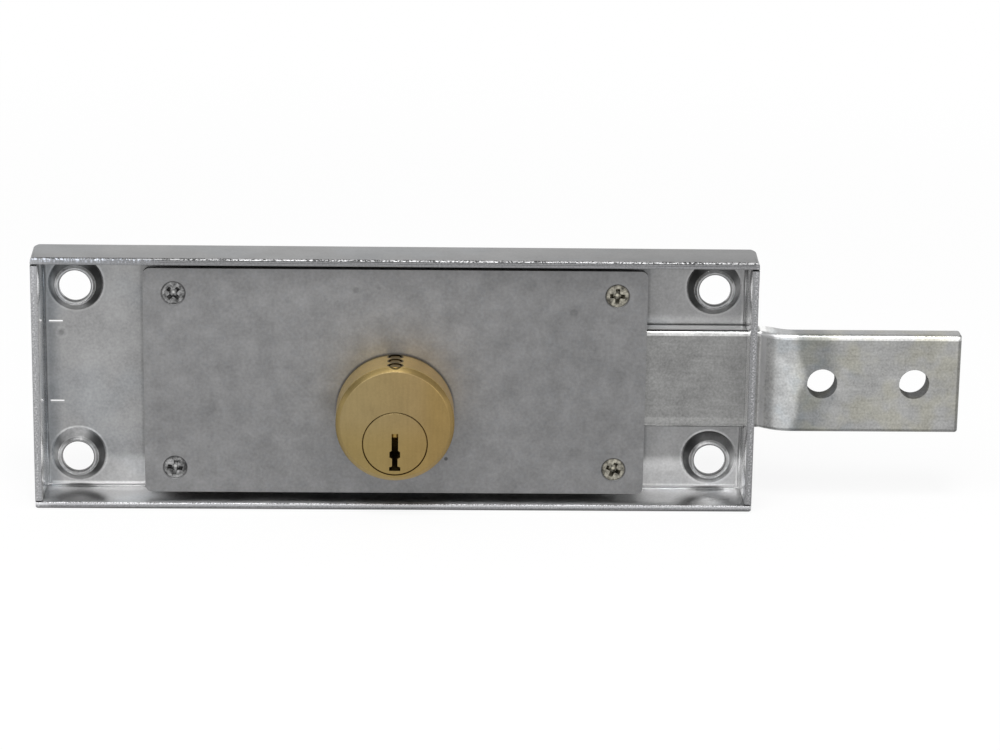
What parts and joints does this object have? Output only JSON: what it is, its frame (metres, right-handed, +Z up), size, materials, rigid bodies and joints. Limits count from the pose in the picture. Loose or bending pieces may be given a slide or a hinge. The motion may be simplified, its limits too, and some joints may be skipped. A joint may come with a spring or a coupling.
{
  "type": "roller shutter lock",
  "caption": "Lateral lock for a roller shutter: open folded case, screwed cover, round brass key cylinder, and a flat cranked bolt bar driven by a rack and pinion.",
  "frame": {"origin": "centre of the case's flat back face", "axes": "+X along the case towards the bolt, +Z up across the case, -Y out of the open front where the key cylinder stands"},
  "size_m": [0.1999, 0.021, 0.056],
  "materials": {
    "zinc_sheet": "zinc plated, satin",
    "cover_zinc": "zinc plated, dull",
    "steel": "plain",
    "screw_zinc": "zinc plated, bright",
    "bolt_steel": "drawn, yellow passivated",
    "brass": "satin",
    "spring_steel": "plain"
  },
  "bodies": {
    "case": {"tray": "zinc_sheet", "cover_plate": "cover_zinc", "cover_pillars": "steel", "cover_screws": "screw_zinc", "bolt_keeper": "steel", "keeper_rivets": "steel", "tail_guide_stud": "steel", "pinion_bush": "brass", "cylinder_shell": "brass", "chamber_plugs": "brass", "cylinder_screws": "screw_zinc", "pin_spring_1": "spring_steel", "pin_spring_2": "spring_steel", "pin_spring_3": "spring_steel", "pin_spring_4": "spring_steel"},
    "bolt": {"bolt_bar": "bolt_steel"},
    "plug": {"plug": "brass", "plug_retainer": "spring_steel", "drive_blade": "steel", "drive_pinion": "steel"},
    "key_pin_1": {"key_pin_1": "brass"},
    "driver_pin_1": {"driver_pin_1": "steel"},
    "key_pin_2": {"key_pin_2": "brass"},
    "driver_pin_2": {"driver_pin_2": "steel"},
    "key_pin_3": {"key_pin_3": "brass"},
    "driver_pin_3": {"driver_pin_3": "steel"},
    "key_pin_4": {"key_pin_4": "brass"},
    "driver_pin_4": {"driver_pin_4": "steel"}
  },
  "joints": [
    {"name": "plug_turn", "type": "hinge", "parent": "case", "child": "plug", "pos_m": [0, -0.014, -0.01065], "axis": [0, 1, 0], "range_deg": [0, 360]},
    {"name": "bolt_slide", "type": "slide", "parent": "case", "child": "bolt", "axis": [1, 0, 0], "range_m": [0, 0.03769]},
    {"name": "key_pin_1_slide", "type": "slide", "parent": "plug", "child": "key_pin_1", "axis": [0, 0, -1], "range_m": [0, 0.0004]},
    {"name": "driver_pin_1_slide", "type": "slide", "parent": "case", "child": "driver_pin_1", "axis": [0, 0, 1], "range_m": [0, 0.002], "stiffness_N_per_m": 40, "springref_m": -0.001, "deforming": ["pin_spring_1"]},
    {"name": "key_pin_2_slide", "type": "slide", "parent": "plug", "child": "key_pin_2", "axis": [0, 0, -1], "range_m": [0, 0.00145]},
    {"name": "driver_pin_2_slide", "type": "slide", "parent": "case", "child": "driver_pin_2", "axis": [0, 0, 1], "range_m": [0, 0.002], "stiffness_N_per_m": 40, "springref_m": -0.001, "deforming": ["pin_spring_2"]},
    {"name": "key_pin_3_slide", "type": "slide", "parent": "plug", "child": "key_pin_3", "axis": [0, 0, -1], "range_m": [0, 0.00225]},
    {"name": "driver_pin_3_slide", "type": "slide", "parent": "case", "child": "driver_pin_3", "axis": [0, 0, 1], "range_m": [0, 0.002], "stiffness_N_per_m": 40, "springref_m": -0.001, "deforming": ["pin_spring_3"]},
    {"name": "key_pin_4_slide", "type": "slide", "parent": "plug", "child": "key_pin_4", "axis": [0, 0, -1], "range_m": [0, 0.00095]},
    {"name": "driver_pin_4_slide", "type": "slide", "parent": "case", "child": "driver_pin_4", "axis": [0, 0, 1], "range_m": [0, 0.002], "stiffness_N_per_m": 40, "springref_m": -0.001, "deforming": ["pin_spring_4"]}
  ],
  "couplings": [
    {"joint": "plug_turn", "follows": "bolt_slide", "rad_per_m": 166.67}
  ]
}
